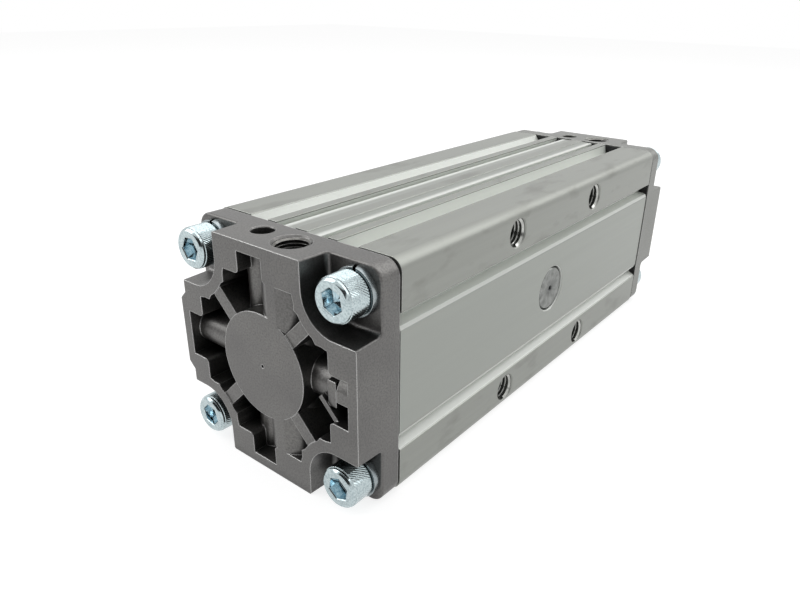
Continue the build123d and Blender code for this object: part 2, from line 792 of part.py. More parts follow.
for near_piece, far_name in (
    (near_piston, "far_piston"),
    (near_wear_ring, "far_wear_ring"),
    (near_piston_seal, "far_piston_seal"),
    (near_magnet, "far_magnet"),
    (near_piston_bolts, "far_piston_bolts"),
):
    with BuildPart() as far_piece:
        mirror(near_piece.part, about=Plane.XZ)
    finish_piece(far_piece.part, far_name)


# Bearings

race_radius = ball_radius + race_clearance

for place, bearing_front in (("front", front_bearing_front), ("rear", rear_bearing_front)):
    bearing_middle = bearing_front + bearing_width / 2
    for ring_name, inner_radius, outer_radius in (
        ("inner", bearing_bore_radius, inner_land_radius),
        ("outer", outer_land_radius, bearing_outer_radius),
    ):
        with BuildPart() as ring:
            with BuildSketch(Plane.XZ):
                with Locations((bearing_middle, (inner_radius + outer_radius) / 2)):
                    RectangleRounded(bearing_width, outer_radius - inner_radius, ring_chamfer)
                with Locations((bearing_middle, ball_circle_radius)):
                    Circle(race_radius, mode=Mode.SUBTRACT)
            revolve(axis=shaft_axis)
        finish_piece(ring.part, f"{place}_bearing_{ring_name}_ring")
    with BuildPart() as balls:
        with Locations(across_plane(bearing_middle)):
            with PolarLocations(ball_circle_radius, ball_count):
                Sphere(ball_radius)
    finish_piece(balls.part, f"{place}_bearing_balls")

# Bearing retainer with the pilot boss, its screws, and the shaft seal

with BuildPart() as retainer:
    with BuildSketch(across_plane(0)):
        Circle(retainer_radius)
    extrude(amount=retainer_thickness)
    with BuildSketch(across_plane(0)):
        Circle(pilot_radius)
    extrude(amount=-pilot_height)
    chamfer(retainer.edges().group_by(Axis.X)[0], pilot_chamfer)
    with BuildSketch(across_plane(retainer_thickness)):
        Circle(bearing_outer_radius)
    extrude(amount=front_bearing_front - retainer_thickness)
    with BuildSketch(across_plane(-pilot_height)):
        Circle(bearing_bore_radius + retainer_bore_clearance)
    extrude(amount=pilot_height + front_bearing_front, mode=Mode.SUBTRACT)
    with BuildSketch(across_plane(front_bearing_front - shaft_seal_width)):
        Circle(seal_outer_radius)
    extrude(amount=shaft_seal_width, mode=Mode.SUBTRACT)
    with BuildSketch(across_plane(0)):
        with PolarLocations(screw_circle_radius, screw_count, 45):
            Circle(screw_radius)
    extrude(amount=retainer_thickness, mode=Mode.SUBTRACT)
    with BuildSketch(across_plane(0)):
        with PolarLocations(screw_circle_radius, screw_count, 45):
            Circle(screw_head_radius)
    extrude(amount=screw_head_radius - screw_radius, taper=45, mode=Mode.SUBTRACT)
finish_piece(retainer.part, "bearing_retainer")

with BuildPart() as retainer_screws:
    with BuildSketch(across_plane(0)):
        with PolarLocations(screw_circle_radius, screw_count, 45):
            Circle(screw_head_radius)
    extrude(amount=screw_head_radius - screw_radius, taper=45)
    with BuildSketch(across_plane(0)):
        with PolarLocations(screw_circle_radius, screw_count, 45):
            Circle(screw_radius)
    extrude(amount=retainer_thickness + screw_length)
finish_piece(retainer_screws.part, "retainer_screws")

with BuildPart() as shaft_seal:
    seal_back = front_bearing_front
    seal_front = seal_back - shaft_seal_width
    lip_radius = bearing_bore_radius + running_clearance
    with BuildSketch(Plane.XZ):
        with BuildLine():
            Polyline(
                (seal_front, seal_outer_radius),
                (seal_front, lip_radius + seal_lip_depth),
                (seal_front + seal_lip_depth, lip_radius),
                (seal_front + 2 * seal_lip_depth, lip_radius),
                (seal_front + 3 * seal_lip_depth, lip_radius + 2 * seal_lip_depth),
                (seal_back, lip_radius + 2 * seal_lip_depth),
                (seal_back, seal_outer_radius),
                close=True,
            )
        make_face()
    revolve(axis=shaft_axis)
finish_piece(shaft_seal.part, "shaft_seal")
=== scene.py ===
import logging
import math
from dataclasses import dataclass, field, fields
from enum import Enum
from itertools import product
from typing import Callable, ClassVar, Iterable, Sequence

import bmesh
import bpy
from mathutils import Matrix, Vector


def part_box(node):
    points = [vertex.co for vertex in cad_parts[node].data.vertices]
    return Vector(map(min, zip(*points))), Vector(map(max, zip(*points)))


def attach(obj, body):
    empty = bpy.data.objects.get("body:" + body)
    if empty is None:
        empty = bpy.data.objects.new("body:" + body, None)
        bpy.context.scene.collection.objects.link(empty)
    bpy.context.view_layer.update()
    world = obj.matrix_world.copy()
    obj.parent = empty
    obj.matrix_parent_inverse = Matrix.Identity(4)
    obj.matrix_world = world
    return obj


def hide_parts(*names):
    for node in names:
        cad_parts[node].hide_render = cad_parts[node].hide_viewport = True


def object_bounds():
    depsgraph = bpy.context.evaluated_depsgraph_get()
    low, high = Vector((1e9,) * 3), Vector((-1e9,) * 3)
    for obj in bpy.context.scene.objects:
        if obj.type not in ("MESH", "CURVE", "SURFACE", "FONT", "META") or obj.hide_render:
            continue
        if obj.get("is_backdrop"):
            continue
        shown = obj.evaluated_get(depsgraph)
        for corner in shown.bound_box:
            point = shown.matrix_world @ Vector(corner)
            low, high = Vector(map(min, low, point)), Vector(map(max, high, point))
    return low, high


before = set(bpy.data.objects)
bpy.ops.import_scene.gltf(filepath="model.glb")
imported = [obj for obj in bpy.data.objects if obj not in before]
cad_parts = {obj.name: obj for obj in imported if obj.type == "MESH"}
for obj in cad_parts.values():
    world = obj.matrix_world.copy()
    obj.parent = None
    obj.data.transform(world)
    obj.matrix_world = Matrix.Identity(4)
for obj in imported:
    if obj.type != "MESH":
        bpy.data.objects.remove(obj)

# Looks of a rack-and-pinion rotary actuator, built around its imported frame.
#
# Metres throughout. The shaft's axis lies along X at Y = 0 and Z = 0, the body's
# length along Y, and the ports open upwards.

LOG = logging.getLogger("rotary_actuator")

Colour = tuple[float, float, float]
Place = tuple[float, float, float]
Span = tuple[float, float]
Signal = bpy.types.NodeSocket
Piece = bpy.types.Object
Materials = dict[str, bpy.types.Material]

MM = 0.001
IMAGE_WIDTH = 800
IMAGE_HEIGHT = 600
HOUSING = "housing"
WHITE = (1.0, 1.0, 1.0, 1.0)
QUARTER_TURN = 90.0

# How a screen's levels become light: a straight foot, then a power.
SCREEN_LEVELS = 255
CURVE_KNEE = 0.04045
CURVE_FOOT = 12.92
CURVE_LIFT = 0.055
CURVE_POWER = 2.4

# The middle of a noise's range, where most of it lies.
NOISE_MIDDLE: Span = (0.3, 0.7)


def screen(red: int, green: int, blue: int) -> Colour:
    """Turn a colour as a screen shows it into the renderer's own values.

    Args:
        red: red, 0 to 255.
        green: green, 0 to 255.
        blue: blue, 0 to 255.

    Returns:
        The linear colour.
    """

    def straight(level: int) -> float:
        """Return one level as light."""
        share = level / SCREEN_LEVELS
        if share <= CURVE_KNEE:
            return share / CURVE_FOOT
        return ((share + CURVE_LIFT) / (1 + CURVE_LIFT)) ** CURVE_POWER

    return straight(red), straight(green), straight(blue)


def grey(tone: float) -> tuple[float, float, float, float]:
    """Return a solid grey of one tone."""
    return tone, tone, tone, 1.0


class End(Enum):
    """Which end of the body a piece belongs to, with the sign of Y there."""

    NEAR = -1
    FAR = 1

    @property
    def word(self) -> str:
        """Return the end's word in the names of pieces."""
        return self.name.lower()


class Lay(Enum):
    """The marks that a tool leaves on a metal face."""

    NONE = "none"
    TURNED = "rings about the shaft"


# Finishes


class Graph:
    """A material's nodes, with the few patterns that the finishes share."""

    SAMPLES: int = 6
    EDGE_AGREEMENT: Span = (0.75, 0.98)
    MIX_COLOURS: tuple[int, int] = (6, 7)
    MIX_RESULT: int = 2

    def __init__(self, name: str) -> None:
        """Start a material.

        Args:
            name: the material's name.
        """
        self.material = bpy.data.materials.new(name)
        self.material.use_nodes = True
        self.nodes = self.material.node_tree.nodes
        self.shader = self.nodes["Principled BSDF"]
        self.place = self.nodes.new("ShaderNodeTexCoord").outputs["Object"]

    def link(self, source: Signal, socket: Signal) -> None:
        """Join two sockets."""
        self.material.node_tree.links.new(source, socket)

    def feed(self, name: str, source: Signal) -> None:
        """Join a source to one of the shader's sockets by its name."""
        self.link(source, self.shader.inputs[name])

    def set(self, name: str, value: float) -> None:
        """Set a uniform value on the shader's own socket."""
        self.shader.inputs[name].default_value = value

    def stretched(self, scale: Place) -> Signal:
        """Stretch the object's coordinates.

        Args:
            scale: how often the pattern repeats along each axis.

        Returns:
            The stretched coordinates.
        """
        node = self.nodes.new("ShaderNodeMapping")
        node.inputs["Scale"].default_value = scale
        self.link(self.place, node.inputs["Vector"])
        return node.outputs["Vector"]

    def noise(self, scale: float, detail: float = 2.0, where: Signal | None = None) -> Signal:
        """Add a noise pattern.

        Args:
            scale: features per metre.
            detail: octaves of finer noise.
            where: coordinates, or None for the object's own.

        Returns:
            The noise from 0 to 1.
        """
        node = self.nodes.new("ShaderNodeTexNoise")
        node.inputs["Scale"].default_value = scale
        node.inputs["Detail"].default_value = detail
        self.link(where or self.place, node.inputs["Vector"])
        return node.outputs["Fac"]

    def spread(self, value: Signal, low: float, high: float, start: float, end: float) -> Signal:
        """Map a range of a value onto another range.

        Args:
            value: the value to map.
            low: the value that becomes start.
            high: the value that becomes end.
            start: the result at low.
            end: the result at high.

        Returns:
            The mapped value, held between start and end.
        """
        node = self.nodes.new("ShaderNodeMapRange")
        ends = {"From Min": low, "From Max": high, "To Min": start, "To Max": end}
        for name, number in ends.items():
            node.inputs[name].default_value = number
        self.link(value, node.inputs["Value"])
        return node.outputs["Result"]

    def rising(self, value: Signal, span: Span, share: float = 1.0) -> Signal:
        """Rise from 0 to a share while a value crosses a span."""
        return self.spread(value, *span, 0.0, share)

    def falling(self, value: Signal, span: Span, share: float = 1.0) -> Signal:
        """Fall from a share to 0 while a value crosses a span."""
        return self.spread(value, *span, share, 0.0)

    def maths(self, operation: str, first: Signal, second: Signal | float = 0.0) -> Signal:
        """Work out one value from one or two others.

        Args:
            operation: the name of the operation, such as MINIMUM.
            first: the first value.
            second: the second value, a socket or a number.

        Returns:
            The result.
        """
        node = self.nodes.new("ShaderNodeMath")
        node.operation = operation
        self.link(first, node.inputs[0])
        if isinstance(second, Signal):
            self.link(second, node.inputs[1])
        else:
            node.inputs[1].default_value = second
        return node.outputs["Value"]

    def axes(self) -> tuple[Signal, Signal, Signal]:
        """Return the object's X, Y and Z coordinates as three sockets."""
        node = self.nodes.new("ShaderNodeSeparateXYZ")
        self.link(self.place, node.inputs[0])
        return node.outputs[0], node.outputs[1], node.outputs[2]

    def mix(self, share: Signal, first: Colour | Signal, second: Colour | Signal) -> Signal:
        """Mix two colours.

        Args:
            share: share of the second colour, 0 to 1.
            first: a colour or a socket.
            second: a colour or a socket.

        Returns:
            The mixed colour.
        """
        node = self.nodes.new("ShaderNodeMix")
        node.data_type = "RGBA"
        self.link(share, node.inputs[0])
        for index, colour in zip(self.MIX_COLOURS, (first, second)):
            if isinstance(colour, Signal):
                self.link(colour, node.inputs[index])
            else:
                node.inputs[index].default_value = (*colour, 1.0)
        return node.outputs[self.MIX_RESULT]

    def rounded(self, radius: float) -> Signal:
        """Return the normal of a surface whose sharp edges are broken by a radius in metres."""
        node = self.nodes.new("ShaderNodeBevel")
        node.samples = self.SAMPLES
        node.inputs["Radius"].default_value = radius
        return node.outputs["Normal"]

    def edges(self, rounded: Signal) -> Signal:
        """Find the sharp edges.

        Args:
            rounded: the normal of the surface with broken edges.

        Returns:
            1 on an edge and 0 away from it.
        """
        shape = self.nodes.new("ShaderNodeNewGeometry")
        node = self.nodes.new("ShaderNodeVectorMath")
        node.operation = "DOT_PRODUCT"
        self.link(shape.outputs["Normal"], node.inputs[0])
        self.link(rounded, node.inputs[1])
        return self.falling(node.outputs["Value"], self.EDGE_AGREEMENT)

    def openness(self, reach: float) -> Signal:
        """Return how open the surface is within a reach in metres, 0 in a deep corner to 1."""
        node = self.nodes.new("ShaderNodeAmbientOcclusion")
        node.samples = self.SAMPLES
        node.inputs["Distance"].default_value = reach
        return node.outputs["AO"]

    def bump(self, height: Signal, depth: float, under: Signal | None = None) -> Signal:
        """Turn a height pattern into a normal.

        Args:
            height: the pattern, 0 to 1.
            depth: its real depth in metres.
            under: a normal that it lies on, or None.

        Returns:
            The normal.
        """
        node = self.nodes.new("ShaderNodeBump")
        node.inputs["Distance"].default_value = depth
        self.link(height, node.inputs["Height"])
        if under is not None:
            self.link(under, node.inputs["Normal"])
        return node.outputs["Normal"]


@dataclass(frozen=True)
class CastFinish:
    """Die-cast aluminium, dark grey: a fine grain, edges lightened with wear and painted
    highlight, and hollows darkened with painted shade.
    """

    name: str = "die_cast_grey"
    colour: Colour = screen(106, 105, 104)
    pale: Colour = screen(119, 118, 116)
    deep: Colour = screen(84, 83, 82)
    # An edge colour: part wear, part painted highlight.
    edge_wear_and_highlight: Colour = screen(208, 208, 207)
    # A painted shade for the hollows.
    painted_shade: Colour = screen(20, 21, 24)
    grain: float = 1500.0
    grain_octaves: float = 4.0
    grain_span: Span = (0.35, 0.6)
    grain_share: float = 0.6
    grain_depth: float = 0.05 * MM
    cloud: float = 45.0
    cloud_octaves: float = 3.0
    cloud_span: Span = (0.35, 0.65)
    edge_radius: float = 0.65 * MM
    edge_open: Span = (0.2, 0.5)
    edge_share: float = 0.85
    hollow_reach: float = 9.0 * MM
    hollow_open: Span = (0.12, 0.62)
    hollow_share: float = 0.9
    roughness: Span = (0.3, 0.42)
    metallic: float = 0.92

    def build(self) -> bpy.types.Material:
        """Return the finished material."""
        graph = Graph(self.name)
        grain = graph.noise(self.grain, self.grain_octaves)
        cloud = graph.noise(self.cloud, self.cloud_octaves)
        toned = graph.mix(graph.rising(cloud, self.cloud_span), self.colour, self.pale)
        specks = graph.falling(grain, self.grain_span, self.grain_share)
        speckled = graph.mix(specks, toned, self.deep)
        normal = graph.rounded(self.edge_radius)
        openness = graph.openness(self.hollow_reach)
        # Open edges take the edge colour: part wear, part painted highlight.
        exposed = graph.rising(openness, self.edge_open)
        edge_highlight = graph.maths("MULTIPLY", graph.edges(normal), exposed)
        edge_highlit = graph.mix(graph.maths("MULTIPLY", edge_highlight, self.edge_share), speckled, self.edge_wear_and_highlight)
        # Painted shade: the colour darkens where nearby geometry closes the surface in.
        shade_mask = graph.falling(openness, self.hollow_open, self.hollow_share)
        graph.feed("Base Color", graph.mix(shade_mask, edge_highlit, self.painted_shade))
        graph.feed("Roughness", graph.spread(cloud, *NOISE_MIDDLE, *self.roughness))
        graph.set("Metallic", self.metallic)
        graph.feed("Normal", graph.bump(grain, self.grain_depth, normal))
        return graph.material


@dataclass(frozen=True)
class ProfileFinish:
    """Clear anodised extrusion: grey handled flats, paler panels, and grooves made paler still,
    partly with painted light that lifts them out of their shade; edges lightened with wear and
    painted highlight, and tight corners darkened with painted shade.
    """

    name: str = "anodised_profile"
    flat: Colour = screen(144, 146, 141)
    panel: Colour = screen(153, 156, 151)
    # The groove colour: a paler tone, partly painted light that lifts the grooves out of their
    # shade.
    groove_lit: Colour = screen(229, 232, 227)
    smudge: Colour = screen(104, 104, 98)
    # A painted shade for tight corners.
    painted_shade: Colour = screen(44, 46, 43)
    streaked: Colour = screen(158, 160, 155)
    # An edge colour: part wear, part painted highlight.
    edge_wear_and_highlight: Colour = screen(232, 236, 231)
    panel_start: float = 0.15 * MM
    groove_lit_start: float = 0.45 * MM
    groove_lit_reach: float = 27.7 * MM
    mask_step: float = 0.1 * MM
    streak: Place = (420.0, 9.0, 420.0)
    streak_span: Span = (0.35, 0.7)
    streak_share: float = 0.35
    scratch: Place = (2600.0, 30.0, 2600.0)
    scratch_depth: float = 0.006 * MM
    line_octaves: float = 3.0
    smear: Place = (120.0, 45.0, 120.0)
    smear_octaves: float = 5.0
    smear_span: Span = (0.55, 0.74)
    smear_share: float = 0.45
    edge_radius: float = 0.35 * MM
    edge_span: Span = (0.45, 1.0)
    edge_share: float = 0.6
    hollow_reach: float = 1.2 * MM
    hollow_open: Span = (0.1, 0.45)
    hollow_share: float = 0.9
    roughness: Span = (0.38, 0.42)
    metallic: Span = (0.9, 0.12)

    def build(self) -> bpy.types.Material:
        """Return the finished material."""
        low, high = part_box("body")
        middle = (low + high) / 2
        graph = Graph(self.name)
        along_x, _, along_z = graph.axes()
        from_middle_x = graph.maths("ABSOLUTE", graph.maths("SUBTRACT", along_x, middle.x))
        from_middle_z = graph.maths("ABSOLUTE", graph.maths("SUBTRACT", along_z, middle.z))
        furthest = graph.maths("MAXIMUM", from_middle_x, from_middle_z)
        nearest = graph.maths("MINIMUM", from_middle_x, from_middle_z)
        half = (high.x - low.x) / 2
        within = graph.falling(nearest, (self.groove_lit_reach, self.groove_lit_reach + self.mask_step))

        def sunk(start: float) -> Signal:
            """Return 1 where the surface lies deeper than a start below the flats, else 0."""
            edge = half - start
            below = graph.falling(furthest, (edge - self.mask_step, edge))
            return graph.maths("MULTIPLY", below, within)

        streaks = graph.noise(1.0, self.line_octaves, graph.stretched(self.streak))
        scratches = graph.noise(1.0, self.line_octaves, graph.stretched(self.scratch))
        smears_and_reflections = graph.noise(1.0, self.smear_octaves, graph.stretched(self.smear))
        drawn_share = graph.rising(streaks, self.streak_span, self.streak_share)
        drawn = graph.mix(drawn_share, self.flat, self.streaked)
        handled_share = graph.rising(smears_and_reflections, self.smear_span, self.smear_share)
        handled = graph.mix(handled_share, drawn, self.smudge)
        panelled = graph.mix(sunk(self.panel_start), handled, self.panel)
        in_groove = sunk(self.groove_lit_start)
        # The grooves take the paler colour, partly painted light.
        grooved = graph.mix(in_groove, panelled, self.groove_lit)
        normal = graph.rounded(self.edge_radius)
        # Sharp edges take the edge colour: part wear, part painted highlight.
        edge_highlight = graph.rising(graph.edges(normal), self.edge_span, self.edge_share)
        edge_highlit = graph.mix(edge_highlight, grooved, self.edge_wear_and_highlight)
        openness = graph.openness(self.hollow_reach)
        # Painted shade in tight corners, from how closed in the surface is.
        shade_mask = graph.falling(openness, self.hollow_open, self.hollow_share)
        graph.feed("Base Color", graph.mix(shade_mask, edge_highlit, self.painted_shade))
        graph.feed("Roughness", graph.spread(streaks, *NOISE_MIDDLE, *self.roughness))
        graph.feed("Metallic", graph.spread(in_groove, 0.0, 1.0, *self.metallic))
        graph.feed("Normal", graph.bump(scratches, self.scratch_depth, normal))
        return graph.material


@dataclass(frozen=True)
class SteelFinish:
    """Bare or plated steel and bright cut aluminium, with the marks of its tool, a painted
    highlight on its edges and painted shade in its hollows; turned faces also get painted dark
    reflection streaks and a centre mark painted dark as shade.
    """

    name: str
    colour: Colour
    tint: Colour
    roughness: Span = (0.2, 0.32)
    metallic: float = 1.0
    lay: Lay = Lay.NONE
    lay_pitch: float = 0.16 * MM
    lay_depth: float = 0.004 * MM
    spots: float = 350.0
    spot_octaves: float = 3.0
    spot_span: Span = (0.4, 0.7)
    # A painted shade for hollows, the centre mark's pit and the turned face's dark reflection
    # streaks.
    painted_shade: Colour = screen(24, 26, 28)
    hollow_reach: float = 2.5 * MM
    hollow_shut: float = 0.1
    hollow_open: float = 0.65
    hollow_share: float = 0.92
    # The edge colour: a painted highlight along sharp edges.
    edge_highlit: Colour = screen(236, 239, 239)
    edge_radius: float = 0.16 * MM
    edge_share: float = 0.8
    smear: float = 4.5
    smear_octaves: float = 6.0
    smear_along: float = 40.0
    smear_span: Span = (0.4, 0.75)
    smear_share: float = 0.4
    # The centre mark's dot, painted dark as painted shade in its pit, and its dark core and halo
    # as shares of the dot.
    centre_dot: float = 1.7 * MM
    dot_core: float = 0.55
    halo_reach: float = 3.0
    halo_share: float = 0.4

    def build(self) -> bpy.types.Material:
        """Return the finished material."""
        graph = Graph(self.name)
        spots = graph.noise(self.spots, self.spot_octaves)
        toned = graph.mix(graph.rising(spots, self.spot_span), self.colour, self.tint)
        normal = graph.rounded(self.edge_radius)
        # Sharp edges get a painted highlight.
        edge_highlight = graph.maths("MULTIPLY", graph.edges(normal), self.edge_share)
        toned = graph.mix(edge_highlight, toned, self.edge_highlit)
        if self.lay is Lay.TURNED:
            radius, smears_and_reflections = self.about_shaft(graph)
            rings = graph.maths("MULTIPLY", radius, 2 * math.pi / self.lay_pitch)
            normal = graph.bump(graph.maths("SINE", rings), self.lay_depth, normal)
            # Painted reflection: darker streaks running out from the axis, as a turned face
            # reflects.
            reflection_streaked = graph.rising(smears_and_reflections, self.smear_span, self.smear_share)
            toned = graph.mix(reflection_streaked, toned, self.painted_shade)
            core, rim = self.dot_core * self.centre_dot, self.halo_reach * self.centre_dot
            # Painted shade in the centre mark's pit: a dark core and a softer halo.
            dot = graph.falling(radius, (core, self.centre_dot))
            halo = graph.falling(radius, (self.centre_dot, rim), self.halo_share)
            toned = graph.mix(graph.maths("MAXIMUM", dot, halo), toned, self.painted_shade)
        else:
            normal = graph.bump(spots, self.lay_depth, normal)
        openness = graph.openness(self.hollow_reach)
        # Painted shade in hollows, from how closed in the surface is.
        shade_mask = graph.falling(openness, (self.hollow_shut, self.hollow_open), self.hollow_share)
        graph.feed("Base Color", graph.mix(shade_mask, toned, self.painted_shade))
        graph.feed("Roughness", graph.spread(spots, *NOISE_MIDDLE, *self.roughness))
        graph.set("Metallic", self.metallic)
        graph.feed("Normal", normal)
        return graph.material

    def about_shaft(self, graph: Graph) -> tuple[Signal, Signal]:
        """Work out the patterns that go round the shaft's axis.

        Args:
            graph: the material's nodes.

        Returns:
            The distance from the axis, and darker streaks that run out from it, a painted
            reflection of the turned face.
        """
        _, along_y, along_z = graph.axes()
        square_y = graph.maths("MULTIPLY", along_y, along_y)
        square_z = graph.maths("MULTIPLY", along_z, along_z)
        radius = graph.maths("SQRT", graph.maths("ADD", square_y, square_z))
        turn = graph.maths("ARCTAN2", along_y, along_z)
        join = graph.nodes.new("ShaderNodeCombineXYZ")
        graph.link(graph.maths("COSINE", turn), join.inputs[0])
        graph.link(graph.maths("SINE", turn), join.inputs[1])
        graph.link(graph.maths("MULTIPLY", radius, self.smear_along), join.inputs[2])
        return radius, graph.noise(self.smear, self.smear_octaves, join.outputs[0])


@dataclass(frozen=True)
class SoftFinish:
    """Rubber, sheet gasket and filled resin: matt, with a faint grain."""

    name: str
    colour: Colour
    roughness: float = 0.7
    grain: float = 2200.0
    grain_span: Span = (0.4, 0.7)
    grain_lift: float = 1.6
    grain_depth: float = 0.02 * MM

    def build(self) -> bpy.types.Material:
        """Return the finished material."""
        graph = Graph(self.name)
        grain = graph.noise(self.grain)
        lighter = tuple(self.grain_lift * level for level in self.colour)
        toned = graph.mix(graph.rising(grain, self.grain_span), self.colour, lighter)
        graph.feed("Base Color", toned)
        graph.set("Roughness", self.roughness)
        graph.feed("Normal", graph.bump(grain, self.grain_depth))
        return graph.material


@dataclass(frozen=True)
class Palette:
    """Every finish of the actuator, built once."""

    cast: CastFinish = CastFinish()
    # The far cover's copy of the cast finish, made paler: painted light, the same casting shown
    # lit.
    far_cast: CastFinish = CastFinish(
        "die_cast_lit_grey", screen(122, 123, 119), screen(134, 135, 131), screen(98, 98, 95)
    )
    profile: ProfileFinish = ProfileFinish()
    zinc: SteelFinish = SteelFinish(
        "bright_zinc",
        screen(186, 199, 201),
        screen(156, 170, 174),
        (0.1, 0.18),
        hollow_reach=0.5 * MM,
        spots=1500.0,
    )
    socket: SteelFinish = SteelFinish(
        "blue_zinc_socket",
        screen(214, 226, 230),
        screen(170, 192, 202),
        (0.04, 0.1),
        # Painted shade in the socket, tinted blue.
        painted_shade=screen(50, 74, 86),
        hollow_reach=2.2 * MM,
        spots=900.0,
    )
    plated: SteelFinish = SteelFinish(
        "plated_screw",
        screen(158, 168, 171),
        screen(140, 151, 155),
        (0.16, 0.26),
        hollow_reach=1.8 * MM,
    )
    washer: SteelFinish = SteelFinish(
        "spring_steel", screen(160, 168, 170), screen(136, 146, 150)
    )
    cut: SteelFinish = SteelFinish(
        "cut_thread",
        screen(190, 191, 187),
        screen(160, 161, 157),
        (0.16, 0.24),
        # Strong painted shade deep in the holes.
        hollow_reach=6.0 * MM,
        hollow_open=0.95,
    )
    port: SteelFinish = SteelFinish(
        "cut_cast_thread",
        screen(112, 111, 108),
        screen(92, 91, 89),
        (0.24, 0.34),
        # Strong painted shade deep in the port.
        hollow_reach=4.0 * MM,
        hollow_open=0.85,
    )
    turned: SteelFinish = SteelFinish(
        "turned_steel",
        screen(134, 136, 133),
        screen(112, 114, 111),
        (0.26, 0.38),
        lay=Lay.TURNED,
        lay_depth=0.0015 * MM,
        edge_radius=0.35 * MM,
    )
    ground: SteelFinish = SteelFinish(
        "ground_steel", screen(186, 188, 190), screen(172, 174, 177), (0.18, 0.28)
    )
    oiled: SteelFinish = SteelFinish(
        "oiled_steel", screen(132, 131, 128), screen(112, 111, 108), (0.3, 0.42)
    )
    bright: SteelFinish = SteelFinish(
        "turned_aluminium",
        screen(186, 188, 188),
        screen(176, 178, 179),
        lay=Lay.TURNED,
        lay_depth=0.001 * MM,
        smear_share=0.05,
        spots=2400.0,
    )
    bronze: SteelFinish = SteelFinish(
        "sintered_bronze", screen(176, 140, 88), screen(150, 116, 70)
    )
    black: SoftFinish = SoftFinish("black_rubber", screen(26, 26, 26))
    sheet: SoftFinish = SoftFinish("gasket_sheet", screen(22, 22, 23), 0.8)
    resin: SoftFinish = SoftFinish("wear_ring_resin", screen(120, 98, 72), 0.5)
    magnet: SoftFinish = SoftFinish("moulded_magnet", screen(50, 50, 52), 0.55)

    def built(self) -> Materials:
        """Return every finish's material by the finish's name here."""
        return {finish.name: getattr(self, finish.name).build() for finish in fields(self)}


# Modelling steps


